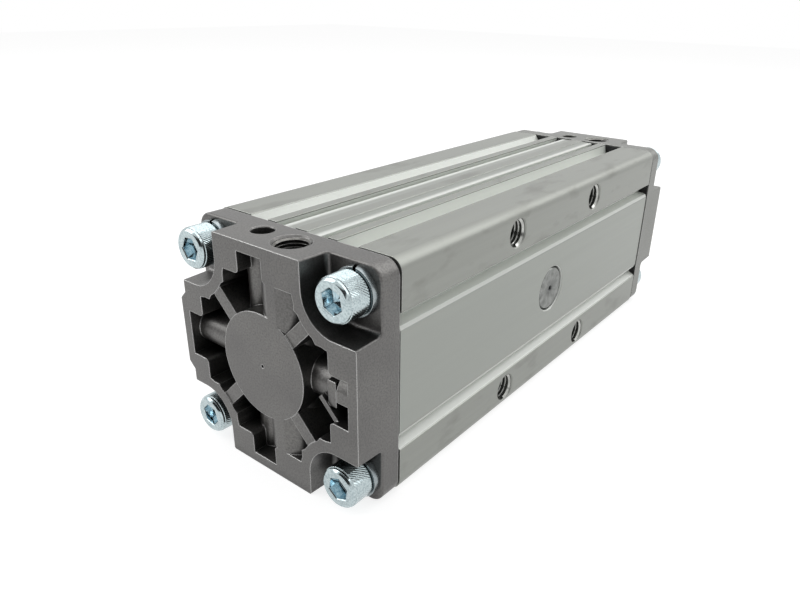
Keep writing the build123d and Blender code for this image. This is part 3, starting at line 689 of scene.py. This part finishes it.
class Bench:
    """The modelling operators that the sub-assemblies share."""

    @staticmethod
    def clear() -> None:
        """Deselect every object."""
        bpy.ops.object.select_all(action="DESELECT")

    @staticmethod
    def take(piece: Piece) -> None:
        """Make a piece the only one selected."""
        Bench.clear()
        piece.select_set(True)
        bpy.context.view_layer.objects.active = piece

    @staticmethod
    def settle() -> None:
        """Apply the active piece's place, turn and size to its mesh."""
        bpy.ops.object.transform_apply(location=True, rotation=True, scale=True)

    @staticmethod
    def edit() -> None:
        """Start to edit the active piece, with every point selected."""
        bpy.ops.object.mode_set(mode="EDIT")
        bpy.ops.mesh.select_all(action="SELECT")

    @staticmethod
    def close() -> None:
        """Turn every face outwards and stop editing."""
        bpy.ops.mesh.select_all(action="SELECT")
        bpy.ops.mesh.normals_make_consistent(inside=False)
        bpy.ops.object.mode_set(mode="OBJECT")

    @staticmethod
    def choose(piece: Piece, test: Callable[[Vector], bool]) -> None:
        """Select the points of a piece in edit mode by their place.

        Args:
            piece: the piece in edit mode.
            test: says of a point whether it is selected.
        """
        bpy.ops.mesh.select_mode(type="VERT")
        bpy.ops.mesh.select_all(action="DESELECT")
        mesh = bmesh.from_edit_mesh(piece.data)
        for point in mesh.verts:
            point.select_set(test(point.co))
        mesh.select_flush(True)
        bmesh.update_edit_mesh(piece.data)

    @staticmethod
    def turned(name: str, sides: int, stations: Sequence[Span]) -> Piece:
        """Build a round piece about Z: a disc, extruded and resized from one station to the next.

        Args:
            name: the piece's name.
            sides: points round the piece.
            stations: height and radius of each ring, from the first face to the last.

        Returns:
            The closed piece.
        """
        Bench.clear()
        height, radius = stations[0]
        bpy.ops.mesh.primitive_circle_add(
            vertices=sides, radius=radius, fill_type="NGON", location=(0, 0, height)
        )
        piece = bpy.context.object
        piece.name = name
        Bench.settle()
        Bench.edit()
        for next_height, next_radius in stations[1:]:
            bpy.ops.mesh.extrude_region_move(
                TRANSFORM_OT_translate={"value": (0, 0, next_height - height)}
            )
            growth, centre = next_radius / radius, (0, 0, next_height)
            bpy.ops.transform.resize(value=(growth, growth, 1), center_override=centre)
            height, radius = next_height, next_radius
        Bench.close()
        return piece

    @staticmethod
    def cut_away(piece: Piece, cutter: Piece) -> None:
        """Cut one piece out of another and delete the cutter.

        Args:
            piece: the piece that stays.
            cutter: the piece that is taken away from it.
        """
        Bench.take(piece)
        bpy.ops.object.modifier_add(type="BOOLEAN")
        modifier = piece.modifiers[-1]
        modifier.operation = "DIFFERENCE"
        modifier.solver = "EXACT"
        modifier.object = cutter
        bpy.ops.object.modifier_apply(modifier=modifier.name)
        bpy.data.objects.remove(cutter)

    @staticmethod
    def copy(piece: Piece, name: str) -> Piece:
        """Copy a piece with its own mesh.

        Args:
            piece: the piece to copy.
            name: the copy's name.

        Returns:
            The copy.
        """
        Bench.take(piece)
        bpy.ops.object.duplicate(linked=False)
        made = bpy.context.object
        made.name = name
        return made

    @staticmethod
    def square(
        master: Piece, name: str, pitch: float, spin: float = 0.0
    ) -> Iterable[tuple[Piece, float, float]]:
        """Copy a piece about Z once for each corner of a square, and delete it at the end.

        Args:
            master: the piece to copy.
            name: the copies' name, before their number.
            pitch: the square's side.
            spin: how far each copy is turned about Z from the one before, in degrees.

        Yields:
            Each copy, still at the origin, and its corner's two offsets.
        """
        sides = (-pitch / 2, pitch / 2)
        for number, (first, second) in enumerate(product(sides, sides), start=1):
            piece = Bench.copy(master, f"{name}_{number}")
            Bench.place(piece, (0, 0, 0), (0, 0, spin * number))
            yield piece, first, second
        bpy.data.objects.remove(master)

    @staticmethod
    def place(piece: Piece, where: Place, turn: Place = (0.0, 0.0, 0.0)) -> None:
        """Turn and move a piece, and apply both to its mesh.

        Args:
            piece: the piece, modelled about the origin.
            where: its new origin.
            turn: its turn about X, Y and Z in degrees.
        """
        Bench.take(piece)
        piece.rotation_euler = [math.radians(angle) for angle in turn]
        piece.location = where
        Bench.settle()

    @staticmethod
    def soften(piece: Piece, angle: float) -> None:
        """Shade a piece smooth, apart from edges sharper than an angle in degrees."""
        Bench.take(piece)
        bpy.ops.object.shade_smooth_by_angle(angle=math.radians(angle))


@dataclass(frozen=True)
class Thread:
    """One size of internal thread: a ridge that winds down the wall of a bore."""

    # A triangle's height over the radius of its corners.
    HEIGHT_PER_CORNER: ClassVar[float] = 1.5

    radius: float
    ridge: float
    pitch: float
    length: float
    share_of_pitch: float = 0.86
    seat: float = 0.02 * MM
    steps: int = 40
    weld: float = 0.001 * MM
    smooth_angle: float = 50.0

    def wind(self, name: str) -> Piece:
        """Wind a three-cornered section round the bore's wall, from Z = 0 down.

        Args:
            name: the piece's name.

        Returns:
            The closed ridge.
        """
        corner = self.ridge / self.HEIGHT_PER_CORNER
        side = corner * math.sqrt(3)
        width = self.share_of_pitch * self.pitch
        upright = math.radians(QUARTER_TURN)
        Bench.clear()
        bpy.ops.mesh.primitive_circle_add(
            vertices=3,
            radius=corner,
            fill_type="NOTHING",
            location=(self.radius + self.seat - corner / 2, 0, 0),
            rotation=(upright, -upright, 0),
        )
        piece = bpy.context.object
        piece.name = name
        Bench.settle()
        Bench.edit()
        bpy.ops.transform.resize(value=(1, 1, width / side), center_override=(0, 0, 0))
        bpy.ops.transform.translate(value=(0, 0, -width / 2))
        bpy.ops.object.mode_set(mode="OBJECT")
        bpy.ops.object.modifier_add(type="SCREW")
        modifier = piece.modifiers[-1]
        modifier.axis = "Z"
        modifier.angle = 2 * math.pi
        modifier.screw_offset = -self.pitch
        modifier.iterations = int(self.length / self.pitch) - 1
        modifier.steps = self.steps
        modifier.render_steps = self.steps
        modifier.use_smooth_shade = False
        bpy.ops.object.modifier_apply(modifier=modifier.name)
        Bench.edit()
        bpy.ops.mesh.remove_doubles(threshold=self.weld)
        bpy.ops.mesh.fill_holes(sides=3)
        Bench.close()
        Bench.soften(piece, self.smooth_angle)
        return piece


@dataclass(frozen=True)
class HexagonSocket:
    """A hexagon socket with a drilled tip below its floor and a wider mouth."""

    flats: float
    depth: float
    tip_depth: float
    tip_radius: float
    mouth_depth: float
    mouth_rise: float
    mouth_growth: float
    sides: int = 6

    @property
    def corner(self) -> float:
        """Return the radius of the hexagon's corners."""
        return self.flats / math.sqrt(3)

    def cut(self, screw: Piece, face: float) -> None:
        """Cut the socket into a screw that stands about Z.

        Args:
            screw: the screw.
            face: the height of the screw's face.
        """
        floor = face - self.depth
        stations = [
            (floor - self.tip_depth, self.tip_radius),
            (floor, self.corner),
            (face - self.mouth_depth, self.corner),
            (face + self.mouth_rise, self.corner + self.mouth_growth),
        ]
        Bench.cut_away(screw, Bench.turned("socket_cutter", self.sides, stations))


def dress(piece: Piece, material: bpy.types.Material) -> None:
    """Give a piece one material for all its faces."""
    piece.data.materials.clear()
    piece.data.materials.append(material)


def dress_node(name: str, material: bpy.types.Material) -> None:
    """Give a node of the frame a material, in the slots that it has."""
    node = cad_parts[name]
    if not node.material_slots:
        node.data.materials.append(material)
    for slot in node.material_slots:
        slot.material = material


# Sub-assemblies


@dataclass
class CoverBolts:
    """Four socket cap screws of one cover, with crossed knurls and blue sockets."""

    end: End
    head_radius: float = 8.0 * MM
    head_height: float = 10.0 * MM
    shank_radius: float = 5.0 * MM
    shank_length: float = 30.0 * MM
    shank_chamfer: float = 0.8 * MM
    neck: float = 0.9 * MM
    neck_radius: float = 7.5 * MM
    neck_chamfer: float = 0.3 * MM
    neck_step: float = 0.1 * MM
    knurl_height: float = 7.4 * MM
    knurl_rows: int = 13
    knurl_sides: int = 100
    knurl_depth: float = 0.13 * MM
    knurl_margin: float = 0.01 * MM
    shoulder_radius: float = 7.65 * MM
    shoulder_step: float = 0.15 * MM
    # Drop below the head's face, and radius, of each ring of its rim.
    rim: tuple[Span, ...] = ((0.75 * MM, 7.65 * MM), (0.25 * MM, 7.15 * MM), (0.0, 6.8 * MM))
    socket: HexagonSocket = HexagonSocket(
        flats=8.0 * MM,
        depth=5.0 * MM,
        tip_depth=1.3 * MM,
        tip_radius=0.3 * MM,
        mouth_depth=0.35 * MM,
        mouth_rise=0.1 * MM,
        mouth_growth=0.45 * MM,
    )
    tint_start: float = 0.2 * MM
    tint_end: float = 7.0 * MM
    tint_margin: float = 0.05 * MM
    spin: float = 17.0
    smooth_angle: float = 28.0

    def build(self, materials: Materials) -> list[Piece]:
        """Model one screw, copy it to the four corners and dress the copies.

        Args:
            materials: the palette's materials.

        Returns:
            The four screws.
        """
        master = self.screw()
        low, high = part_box(f"{self.end.word}_cover_bolts")
        head_face = low.y if self.end is End.NEAR else high.y
        across = high.x - low.x - 2 * self.head_radius
        middle = (low + high) / 2
        seat = head_face - self.end.value * self.head_height
        made = []
        name = f"{self.end.word}_cover_bolt"
        for screw, off_x, off_z in Bench.square(master, name, across, self.spin):
            where = (middle.x + off_x, seat, middle.z + off_z)
            Bench.place(screw, where, (-QUARTER_TURN * self.end.value, 0, 0))
            self.colour(screw, head_face, Vector(where), materials)
            Bench.soften(screw, self.smooth_angle)
            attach(screw, HOUSING)
            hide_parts(f"{self.end.word}_cover_bolts")
            made.append(screw)
        return made

    def screw(self) -> Piece:
        """Model one screw about Z, with its head's seat at Z = 0.

        Returns:
            The screw.
        """
        top = self.head_height
        knurl_end = self.neck + self.knurl_height
        rows = [
            (self.neck + self.knurl_height * step / (self.knurl_rows - 1), self.head_radius)
            for step in range(self.knurl_rows)
        ]
        stations = [
            (-self.shank_length, self.shank_radius - self.shank_chamfer),
            (-self.shank_length + self.shank_chamfer, self.shank_radius),
            (0.0, self.shank_radius),
            (0.0, self.neck_radius - self.neck_chamfer),
            (self.neck_chamfer, self.neck_radius),
            (self.neck - self.neck_step, self.neck_radius),
            *rows,
            (knurl_end + self.shoulder_step, self.shoulder_radius),
            *((top - drop, radius) for drop, radius in self.rim),
        ]
        piece = Bench.turned("cover_bolt", self.knurl_sides, stations)
        Bench.take(piece)
        Bench.edit()
        row_step = self.knurl_height / (self.knurl_rows - 1)
        turn_step = 2 * math.pi / self.knurl_sides

        def in_valley(point: Vector) -> bool:
            """Say whether a point lies in a valley of the crossed knurl."""
            if math.hypot(point.x, point.y) < self.head_radius - self.knurl_margin:
                return False
            row = round((point.z - self.neck) / row_step)
            column = round(math.atan2(point.y, point.x) / turn_step)
            return (row + column) % 2 == 1

        Bench.choose(piece, in_valley)
        pull = 1 - self.knurl_depth / self.head_radius
        bpy.ops.transform.resize(value=(pull, pull, 1), center_override=(0, 0, 0))
        knurled = self.shoulder_radius + self.knurl_margin
        Bench.choose(piece, lambda point: math.hypot(point.x, point.y) > knurled)
        bpy.ops.mesh.quads_convert_to_tris(quad_method="FIXED")
        bpy.ops.object.mode_set(mode="OBJECT")
        self.socket.cut(piece, top)
        return piece

    def colour(self, screw: Piece, head_face: float, axis: Vector, materials: Materials) -> None:
        """Give the socket's walls the blue tint and the rest bright zinc.

        Args:
            screw: the screw in its place.
            head_face: the head's face along Y.
            axis: a point on the screw's axis.
            materials: the palette's materials.
        """
        dress(screw, materials["zinc"])
        screw.data.materials.append(materials["socket"])
        reach = self.socket.corner + self.tint_margin
        for face in screw.data.polygons:
            middle = face.center
            radial = math.hypot(middle.x - axis.x, middle.z - axis.z)
            sunk = abs(middle.y - head_face)
            if radial < reach and self.tint_start < sunk < self.tint_end:
                face.material_index = 1


@dataclass
class RetainerScrews:
    """Four countersunk screws that hold the bearing retainer, with hexagon sockets."""

    circle_radius: float = 25.0 * MM
    head_radius: float = 4.45 * MM
    head_depth: float = 2.1 * MM
    sunk: float = 0.05 * MM
    # Drop below the head's face, and step in from its radius, of each ring of its rim.
    rim: tuple[Span, ...] = ((0.15 * MM, 0.0), (0.05 * MM, 0.0), (0.0, 0.1 * MM))
    shank_radius: float = 2.5 * MM
    shank_chamfer: float = 0.4 * MM
    length: float = 20.0 * MM
    sides: int = 48
    socket: HexagonSocket = HexagonSocket(
        flats=3.0 * MM,
        depth=1.9 * MM,
        tip_depth=0.4 * MM,
        tip_radius=0.2 * MM,
        mouth_depth=0.2 * MM,
        mouth_rise=0.05 * MM,
        mouth_growth=0.2 * MM,
    )
    spin: float = 23.0
    smooth_angle: float = 28.0

    def build(self, materials: Materials) -> list[Piece]:
        """Model one screw, copy it round the shaft and dress the copies.

        Args:
            materials: the palette's materials.

        Returns:
            The four screws.
        """
        master = self.screw()
        low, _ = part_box("retainer_screws")
        made = []
        across = math.sqrt(2) * self.circle_radius
        for screw, off_y, off_z in Bench.square(master, "retainer_screw", across, self.spin):
            Bench.place(screw, (low.x, off_y, off_z), (0, -QUARTER_TURN, 0))
            dress(screw, materials["plated"])
            Bench.soften(screw, self.smooth_angle)
            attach(screw, HOUSING)
            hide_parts("retainer_screws")
            made.append(screw)
        return made

    def screw(self) -> Piece:
        """Model one screw about Z, with the retainer's face at Z = 0.

        Returns:
            The screw.
        """
        stations = [
            (-self.length, self.shank_radius - self.shank_chamfer),
            (-self.length + self.shank_chamfer, self.shank_radius),
            (-self.head_depth, self.shank_radius),
            *((-self.sunk - drop, self.head_radius - step) for drop, step in self.rim),
        ]
        piece = Bench.turned("retainer_screw", self.sides, stations)
        self.socket.cut(piece, 0.0)
        return piece


@dataclass
class Threads:
    """Thread ridges on the plain walls of the threaded holes."""

    rear: Thread = Thread(6.0 * MM, 0.95 * MM, 1.75 * MM, 12.6 * MM)
    shaft_side: Thread = Thread(5.1 * MM, 0.25 * MM, 1.75 * MM, 12.6 * MM)
    port: Thread = Thread(6.58 * MM, 0.86 * MM, 1.337 * MM, 13.4 * MM)
    hole_pitch: float = 72.0 * MM
    port_x: float = 53.2 * MM
    port_y: float = 121.2 * MM
    inset: float = 0.3 * MM

    def build(self, materials: Materials) -> list[Piece]:
        """Wind every thread.

        Args:
            materials: the palette's materials.

        Returns:
            The threads.
        """
        made = []
        low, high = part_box("body")
        for side, face_x, turn, form in (
            ("rear", high.x - self.inset, QUARTER_TURN, self.rear),
            ("shaft_side", low.x + self.inset, -QUARTER_TURN, self.shaft_side),
        ):
            master = form.wind("m12_thread")
            name = f"{side}_mounting_thread"
            for thread, off_y, off_z in Bench.square(master, name, self.hole_pitch):
                Bench.place(thread, (face_x, off_y, off_z), (0, turn, 0))
                dress(thread, materials["cut"])
                made.append(thread)
        master = self.port.wind("port_thread")
        for end in End:
            thread = Bench.copy(master, f"{end.word}_port_thread")
            Bench.place(thread, (self.port_x, end.value * self.port_y, high.z - self.inset))
            dress(thread, materials["port"])
            made.append(thread)
        bpy.data.objects.remove(master)
        for thread in made:
            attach(thread, HOUSING)
        return made


@dataclass
class FramePieces:
    """The nodes of the frame whose shape stays, each with its finish."""

    single: dict[str, str] = field(
        default_factory=lambda: {
            "body": "profile",
            "near_cover": "cast",
            "far_cover": "far_cast",
            "bearing_retainer": "bright",
            "shaft_seal": "black",
            "pinion_shaft": "turned",
            "rack": "oiled",
            "rack_slider": "bronze",
        }
    )
    at_each_end: dict[str, str] = field(
        default_factory=lambda: {
            "cover_gasket": "sheet",
            "spring_washers": "washer",
            "piston": "bright",
            "piston_bolts": "plated",
            "piston_seal": "black",
            "wear_ring": "resin",
            "magnet": "magnet",
        }
    )
    bearings: tuple[str, ...] = ("front", "rear")
    bearing_parts: tuple[str, ...] = ("inner_ring", "outer_ring", "balls")
    bearing_finish: str = "ground"

    def build(self, materials: Materials) -> list[str]:
        """Dress every node.

        Args:
            materials: the palette's materials.

        Returns:
            The names of the dressed nodes.
        """
        finishes = dict(self.single)
        for end in End:
            for part, finish in self.at_each_end.items():
                finishes[f"{end.word}_{part}"] = finish
        for bearing, part in product(self.bearings, self.bearing_parts):
            finishes[f"{bearing}_bearing_{part}"] = self.bearing_finish
        for name, finish in finishes.items():
            dress_node(name, materials[finish])
        return list(finishes)


# Surroundings


@dataclass(frozen=True)
class PhotoCamera:
    """The camera at the photograph's place and angle."""

    place: Place = (0.21627, -0.26465, 0.12163)
    azimuth: float = 37.84
    elevation: float = 24.39
    roll: float = -1.085
    focal_pixels: float = 672.45
    centre_pixel: Span = (412.03, 301.12)
    sensor: float = 36.0
    clip_start: float = 0.01

    def build(self) -> None:
        """Make the camera and set it as the scene's."""
        turn, rise = math.radians(self.azimuth), math.radians(self.elevation)
        reach = math.cos(rise)
        back = Vector((math.sin(turn) * reach, -math.cos(turn) * reach, math.sin(rise)))
        right = Vector((0, 0, 1)).cross(back).normalized()
        upright = back.cross(right)
        level = Matrix((right, upright, back)).transposed()
        lean = Matrix.Rotation(math.radians(-self.roll), 3, back)
        data = bpy.data.cameras.new("photo_camera")
        camera = bpy.data.objects.new("photo_camera", data)
        bpy.context.scene.collection.objects.link(camera)
        camera.rotation_mode = "QUATERNION"
        camera.rotation_quaternion = (lean @ level).to_quaternion()
        camera.location = self.place
        data.sensor_width = self.sensor
        data.lens = self.focal_pixels / IMAGE_WIDTH * self.sensor
        data.shift_x = (IMAGE_WIDTH / 2 - self.centre_pixel[0]) / IMAGE_WIDTH
        data.shift_y = (self.centre_pixel[1] - IMAGE_HEIGHT / 2) / IMAGE_WIDTH
        data.clip_start = self.clip_start
        bpy.context.scene.camera = camera


@dataclass(frozen=True)
class Lamp:
    """A soft box that faces a point."""

    name: str
    place: Place
    aim: Place
    width: float
    power: float

    def build(self) -> None:
        """Make the lamp."""
        data = bpy.data.lights.new(self.name, "AREA")
        data.shape = "SQUARE"
        data.size = self.width
        data.energy = self.power
        lamp = bpy.data.objects.new(self.name, data)
        bpy.context.scene.collection.objects.link(lamp)
        lamp.location = self.place
        away = Vector(self.place) - Vector(self.aim)
        lamp.rotation_mode = "QUATERNION"
        lamp.rotation_quaternion = away.to_track_quat("Z", "Y")


@dataclass(frozen=True)
class Card:
    """A dark card outside the picture, which the metal reflects as a dark band."""

    name: str
    place: Place
    aim: Place
    size: Span
    tone: float = 0.03

    def build(self) -> None:
        """Make the card."""
        Bench.clear()
        bpy.ops.mesh.primitive_plane_add(size=1.0)
        card = bpy.context.object
        card.name = self.name
        card.scale = (*self.size, 1.0)
        away = Vector(self.place) - Vector(self.aim)
        card.rotation_euler = away.to_track_quat("Z", "Y").to_euler()
        card.location = self.place
        Bench.settle()
        material = bpy.data.materials.new(self.name)
        material.use_nodes = True
        shader = material.node_tree.nodes["Principled BSDF"]
        shader.inputs["Base Color"].default_value = grey(self.tone)
        shader.inputs["Roughness"].default_value = 1.0
        dress(card, material)
        card.visible_camera = False
        card.visible_shadow = False
        card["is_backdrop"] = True


@dataclass
class Studio:
    """Pale floor, white surroundings, soft boxes and dark cards."""

    floor_size: float = 6.0
    floor_tone: float = 0.8
    glow: float = 1.62
    glow_share: float = 0.5
    ambient: float = 0.5
    lamps: tuple[Lamp, ...] = (
        Lamp("top_box", (-0.1, 0.25, 1.2), (0.046, 0.0, 0.0), 1.4, 7.4),
        Lamp("left_box", (-1.0, -0.8, 0.8), (0.046, -0.05, 0.0), 0.9, 6.6),
        Lamp("back_box", (0.6, 0.95, 0.8), (0.092, 0.0, 0.0), 0.8, 3.3),
    )
    cards: tuple[Card, ...] = (
        Card("front_card", (0.1, -1.1, 0.4), (0.046, -0.1, 0.0), (1.1, 0.6)),
        Card("right_card", (1.15, -0.45, 0.35), (0.092, 0.0, 0.0), (0.7, 0.5)),
        Card("low_card", (-0.42, -0.68, 0.0), (0.046, -0.13, 0.0), (0.5, 0.12)),
    )

    def build(self) -> None:
        """Make the floor, the world, the lamps and the cards."""
        self.floor()
        self.world()
        for lamp in self.lamps:
            lamp.build()
        for card in self.cards:
            card.build()

    def show(self, tree: bpy.types.NodeTree, output: str, light: Signal, look: Signal) -> None:
        """Show one shader to the camera, mirrors and glass, and another to all other rays.

        Args:
            tree: the nodes that hold the shaders.
            output: the kind of node that ends them.
            light: the shader for all other rays.
            look: the shader as it is seen.
        """
        path = tree.nodes.new("ShaderNodeLightPath")
        seen = path.outputs["Is Camera Ray"]
        for name in ("Is Glossy Ray", "Is Transmission Ray"):
            node = tree.nodes.new("ShaderNodeMath")
            node.operation = "MAXIMUM"
            tree.links.new(seen, node.inputs[0])
            tree.links.new(path.outputs[name], node.inputs[1])
            seen = node.outputs["Value"]
        choice = tree.nodes.new("ShaderNodeMixShader")
        for index, source in enumerate((seen, light, look)):
            tree.links.new(source, choice.inputs[index])
        end = tree.nodes.new(output)
        tree.links.new(choice.outputs[0], end.inputs["Surface"])

    def floor(self) -> None:
        """Make the pale floor that the actuator lies on."""
        low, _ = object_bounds()
        Bench.clear()
        bpy.ops.mesh.primitive_plane_add(size=self.floor_size, location=(0, 0, low.z))
        floor = bpy.context.object
        floor.name = "floor"
        Bench.settle()
        material = bpy.data.materials.new("pale_floor")
        material.use_nodes = True
        tree = material.node_tree
        nodes = tree.nodes
        nodes.clear()
        matt = nodes.new("ShaderNodeBsdfDiffuse")
        matt.inputs["Color"].default_value = grey(self.floor_tone)
        glow = nodes.new("ShaderNodeEmission")
        glow.inputs["Color"].default_value = WHITE
        glow.inputs["Strength"].default_value = self.glow
        mostly = nodes.new("ShaderNodeMixShader")
        mostly.inputs[0].default_value = self.glow_share
        tree.links.new(matt.outputs[0], mostly.inputs[1])
        tree.links.new(glow.outputs[0], mostly.inputs[2])
        self.show(tree, "ShaderNodeOutputMaterial", matt.outputs[0], mostly.outputs[0])
        dress(floor, material)
        floor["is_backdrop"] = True

    def world(self) -> None:
        """Make the surroundings: white where they are seen, softer as light."""
        world = bpy.data.worlds.new("studio")
        bpy.context.scene.world = world
        world.use_nodes = True
        nodes = world.node_tree.nodes
        nodes.clear()
        light = nodes.new("ShaderNodeBackground")
        light.inputs["Strength"].default_value = self.ambient
        white = nodes.new("ShaderNodeBackground")
        white.inputs["Color"].default_value = WHITE
        self.show(world.node_tree, "ShaderNodeOutputWorld", light.outputs[0], white.outputs[0])


def main() -> None:
    """Build the looks in order and report each group of pieces."""
    logging.basicConfig(level=logging.INFO, format="%(message)s")
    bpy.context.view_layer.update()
    bpy.context.scene.view_settings.view_transform = "Standard"
    PhotoCamera().build()
    Studio().build()
    materials = Palette().built()
    LOG.info("finishes: %d", len(materials))
    dressed = FramePieces().build(materials)
    LOG.info("dressed nodes: %d", len(dressed))
    for end in End:
        screws = CoverBolts(end).build(materials)
        LOG.info("%s cover bolts: %d", end.word, len(screws))
    retainer_screws = RetainerScrews().build(materials)
    LOG.info("retainer screws: %d", len(retainer_screws))
    threads = Threads().build(materials)
    LOG.info("threads: %d", len(threads))


if __name__ == "__main__":
    main()
